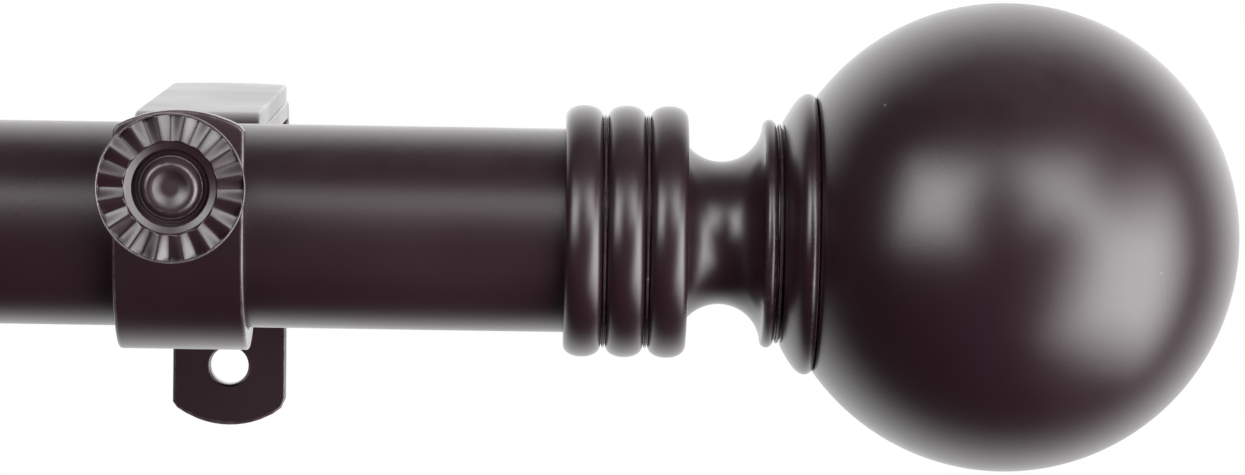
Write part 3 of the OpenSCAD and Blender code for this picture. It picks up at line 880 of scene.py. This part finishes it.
# ---------------------------------------------------------------------------------------------
# Studio. A pale floor well below the rod, a white surround that is bright behind the object and
# dim in front of it, and four softboxes: front left, front right, a large one to the right and a
# dim wide one above. Each is four layers of rising size, so that it fades towards its edges.

floor_level, floor_half_width, floor_near, floor_far = -0.42, 5.0, -5.0, 1.7
corners = [(x, y, floor_level)
           for x, y in ((-floor_half_width, floor_near), (floor_half_width, floor_near),
                        (floor_half_width, floor_far), (-floor_half_width, floor_far))]
floor_mesh = bpy.data.meshes.new("pale_floor")
floor_mesh.from_pydata(corners, [], [(0, 1, 2, 3)])
floor = bpy.data.objects.new("pale_floor", floor_mesh)
bpy.context.collection.objects.link(floor)
floor_paint = bpy.data.materials.new("pale_floor_paint")
floor_paint.use_nodes = True
floor_shader = floor_paint.node_tree.nodes["Principled BSDF"]
floor_shader.inputs["Base Color"].default_value = (0.90, 0.90, 0.90, 1)
floor_shader.inputs["Roughness"].default_value = 0.7
floor_mesh.materials.append(floor_paint)
floor.visible_glossy = floor.visible_diffuse = floor.visible_shadow = False

world = bpy.data.worlds.new("studio_surround")
bpy.context.scene.world = world
world.use_nodes = True
sky = world.node_tree
sky.nodes.clear()
way = added(sky, "ShaderNodeSeparateXYZ",
            Vector=added(sky, "ShaderNodeTexCoord").outputs["Generated"]).outputs
behind = added(sky, "ShaderNodeMapRange", {"interpolation_type": "SMOOTHSTEP"}, Value=way["Y"],
               From_Min=0.12, From_Max=0.75, To_Min=0.0, To_Max=1.0).outputs[0]
above = added(sky, "ShaderNodeMapRange", {"interpolation_type": "SMOOTHSTEP"}, Value=way["Z"],
              From_Min=-0.3, From_Max=0.3, To_Min=1.4, To_Max=2.0).outputs[0]
front_level = 0.04
strength = maths(sky, "MULTIPLY_ADD", behind, above, front_level)
room = added(sky, "ShaderNodeBackground", Color=(1, 1, 1, 1), Strength=strength)
seen = added(sky, "ShaderNodeBackground", Color=(1, 1, 1, 1), Strength=1.0)
chosen = added(sky, "ShaderNodeMixShader",
               Fac=added(sky, "ShaderNodeLightPath").outputs["Is Camera Ray"])
sky.links.new(room.outputs[0], chosen.inputs[1])
sky.links.new(seen.outputs[0], chosen.inputs[2])
sky.links.new(chosen.outputs[0], sky.nodes.new("ShaderNodeOutputWorld").inputs["Surface"])

aim = Vector((tube_end["right"][0] + 0.055, rod_y, rod_z))
light_distance, layer_gap = 1.4, 0.02
light_layers = ((0.55, 0.30), (0.85, 0.30), (1.15, 0.22), (1.5, 0.18))


def softbox(name, azimuth, elevation, distance, width, height, radiance):
    """Area light at an azimuth right of the camera's side and an elevation, facing the rod. Its
    power is pi times its area times its radiance."""
    a, e = np.radians([azimuth, elevation])
    out = Vector((np.sin(a) * np.cos(e), -np.cos(a) * np.cos(e), np.sin(e)))
    light = bpy.data.lights.new(name, "AREA")
    light.shape, light.size, light.size_y = "RECTANGLE", width, height
    light.energy = np.pi * width * height * radiance
    box = bpy.data.objects.new(name, light)
    box.matrix_world = (Matrix.Translation(aim + out * distance)
                        @ out.to_track_quat("Z", "Y").to_matrix().to_4x4())
    box.visible_camera = False
    bpy.context.collection.objects.link(box)


for name, azimuth, elevation, width, height, radiance in (
        ("key_softbox", -40, 19, 0.78, 0.84, 7.2), ("front_softbox", 24, 26, 0.80, 0.72, 5.2),
        ("side_softbox", 60, -13, 1.50, 1.70, 8.8), ("upper_softbox", 4, 37, 1.90, 0.70, 1.3)):
    for layer, (spread, share) in enumerate(light_layers):
        softbox("%s_%d" % (name, layer), azimuth, elevation, light_distance + layer_gap * layer,
                width * spread, height * spread, radiance * share)

camera_data = bpy.data.cameras.new("camera")
camera_data.lens, camera_data.sensor_width = 146.3, 36
camera = bpy.data.objects.new("camera", camera_data)
bpy.context.collection.objects.link(camera)
yaw, pitch, roll = 0.01419, -0.08612, 0.01692
forward = Vector((np.sin(yaw) * np.cos(pitch), np.cos(yaw) * np.cos(pitch), np.sin(pitch)))
level = Vector((np.cos(yaw), -np.sin(yaw), 0))
upright = level.cross(forward)
sideways = level * np.cos(roll) + upright * np.sin(roll)
upright = upright * np.cos(roll) - level * np.sin(roll)
stand = (tube_end["right"][0] - 0.00167, rod_y - 0.6293, rod_z + 0.05356)
facing = Matrix((sideways, upright, -forward)).transposed().to_4x4()
camera.matrix_world = Matrix.Translation(stand) @ facing
bpy.context.scene.camera = camera
bpy.context.scene.view_settings.view_transform = "Standard"
